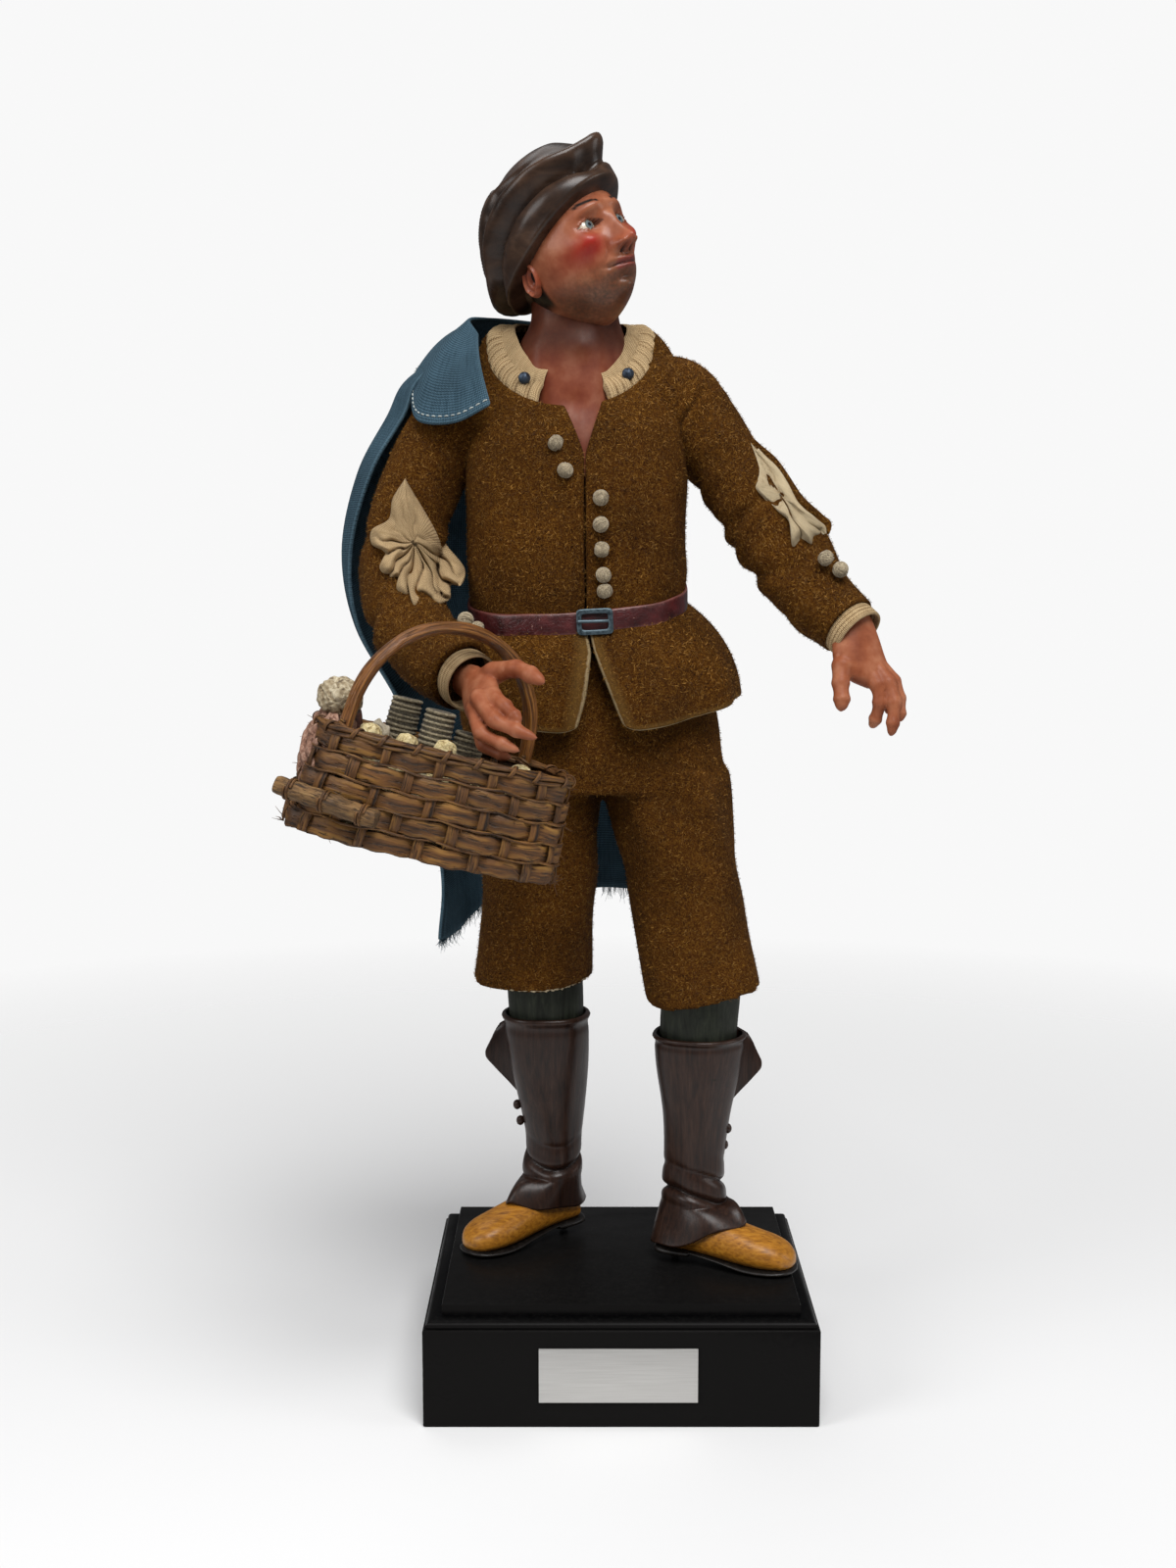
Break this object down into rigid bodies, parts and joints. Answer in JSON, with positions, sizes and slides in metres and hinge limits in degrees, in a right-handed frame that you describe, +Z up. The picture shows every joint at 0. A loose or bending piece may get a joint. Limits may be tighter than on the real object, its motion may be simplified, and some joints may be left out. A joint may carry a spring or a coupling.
{
  "type": "dressed vendor crib figure on a plinth",
  "caption": "Dressed street vendor figure with painted head, felt suit and blue shoulder cape, carrying a wicker basket on a lacquered plinth.",
  "frame": {"origin": "middle of the plinth's underside", "axes": "+Z up; -Y is the front, towards which the body faces; +X is the figure's left"},
  "size_m": [0.1967, 0.1517, 0.4152],
  "materials": {
    "lacquered_wood": "black lacquer, satin to glossy",
    "plate_metal": "satin silver, bare",
    "painted_legs": "glossy oil paint: ochre shoes, dark brown gaiters, grey-green stockings",
    "peg_metal": "dark wire",
    "painted_head": "glossy painted flesh and a painted brown cap",
    "painted_hands": "satin painted flesh",
    "linen": "unbleached linen",
    "brown_felt": "napped wool felt",
    "oxblood_leather": "glossy, rubbed",
    "buckle_steel": "blued, worn",
    "button_thread": "wound thread",
    "dark_stud": "dull dark bead",
    "blue_cloth": "plain-woven blue wool, frayed edge",
    "straw": "flat woven straw, darkened",
    "cane": "bent cane, waxed",
    "cheese": "modelled cheese tied with twine",
    "twine": "coarse wound twine",
    "dried_fruit": "wrinkled, dusty",
    "crust": "floury, crumpled",
    "gourd_skin": "dark, dull"
  },
  "bodies": {
    "root": {"plinth_block": "lacquered_wood", "plinth_top": "lacquered_wood", "name_plate": "plate_metal", "leg_right": "painted_legs", "leg_left": "painted_legs", "foot_peg_right": "peg_metal", "foot_peg_left": "peg_metal", "head": "painted_head", "shirt_collar": "linen", "breeches": "brown_felt", "jacket": "brown_felt", "belt": "oxblood_leather", "belt_buckle": "buckle_steel", "hand_right": "painted_hands", "hand_left": "painted_hands", "shirt_cuff_right": "linen", "shirt_cuff_left": "linen", "sleeve_right": "brown_felt", "sleeve_left": "brown_felt", "shirt_puff_right": "linen", "shirt_puff_left": "linen", "button_front_1": "button_thread", "button_front_2": "button_thread", "button_front_3": "button_thread", "button_front_4": "button_thread", "button_front_5": "button_thread", "button_front_6": "button_thread", "button_front_7": "button_thread", "collar_stud_1": "dark_stud", "collar_stud_2": "dark_stud", "button_cuff_right_1": "button_thread", "button_cuff_right_2": "button_thread", "button_cuff_left_1": "button_thread", "button_cuff_left_2": "button_thread", "cape": "blue_cloth", "cape_collar": "blue_cloth", "basket": "straw", "basket_handle": "cane", "basket_rod": "cane", "small_cheese_1": "cheese", "small_cheese_2": "cheese", "small_cheese_3": "cheese", "small_cheese_4": "cheese", "small_cheese_5": "cheese", "woven_flask_1": "twine", "woven_flask_2": "twine", "woven_flask_3": "twine", "dried_fruit_bunch": "dried_fruit", "loaf": "crust", "flat_cheese": "crust", "dark_gourd": "gourd_skin"}
  },
  "joints": []
}
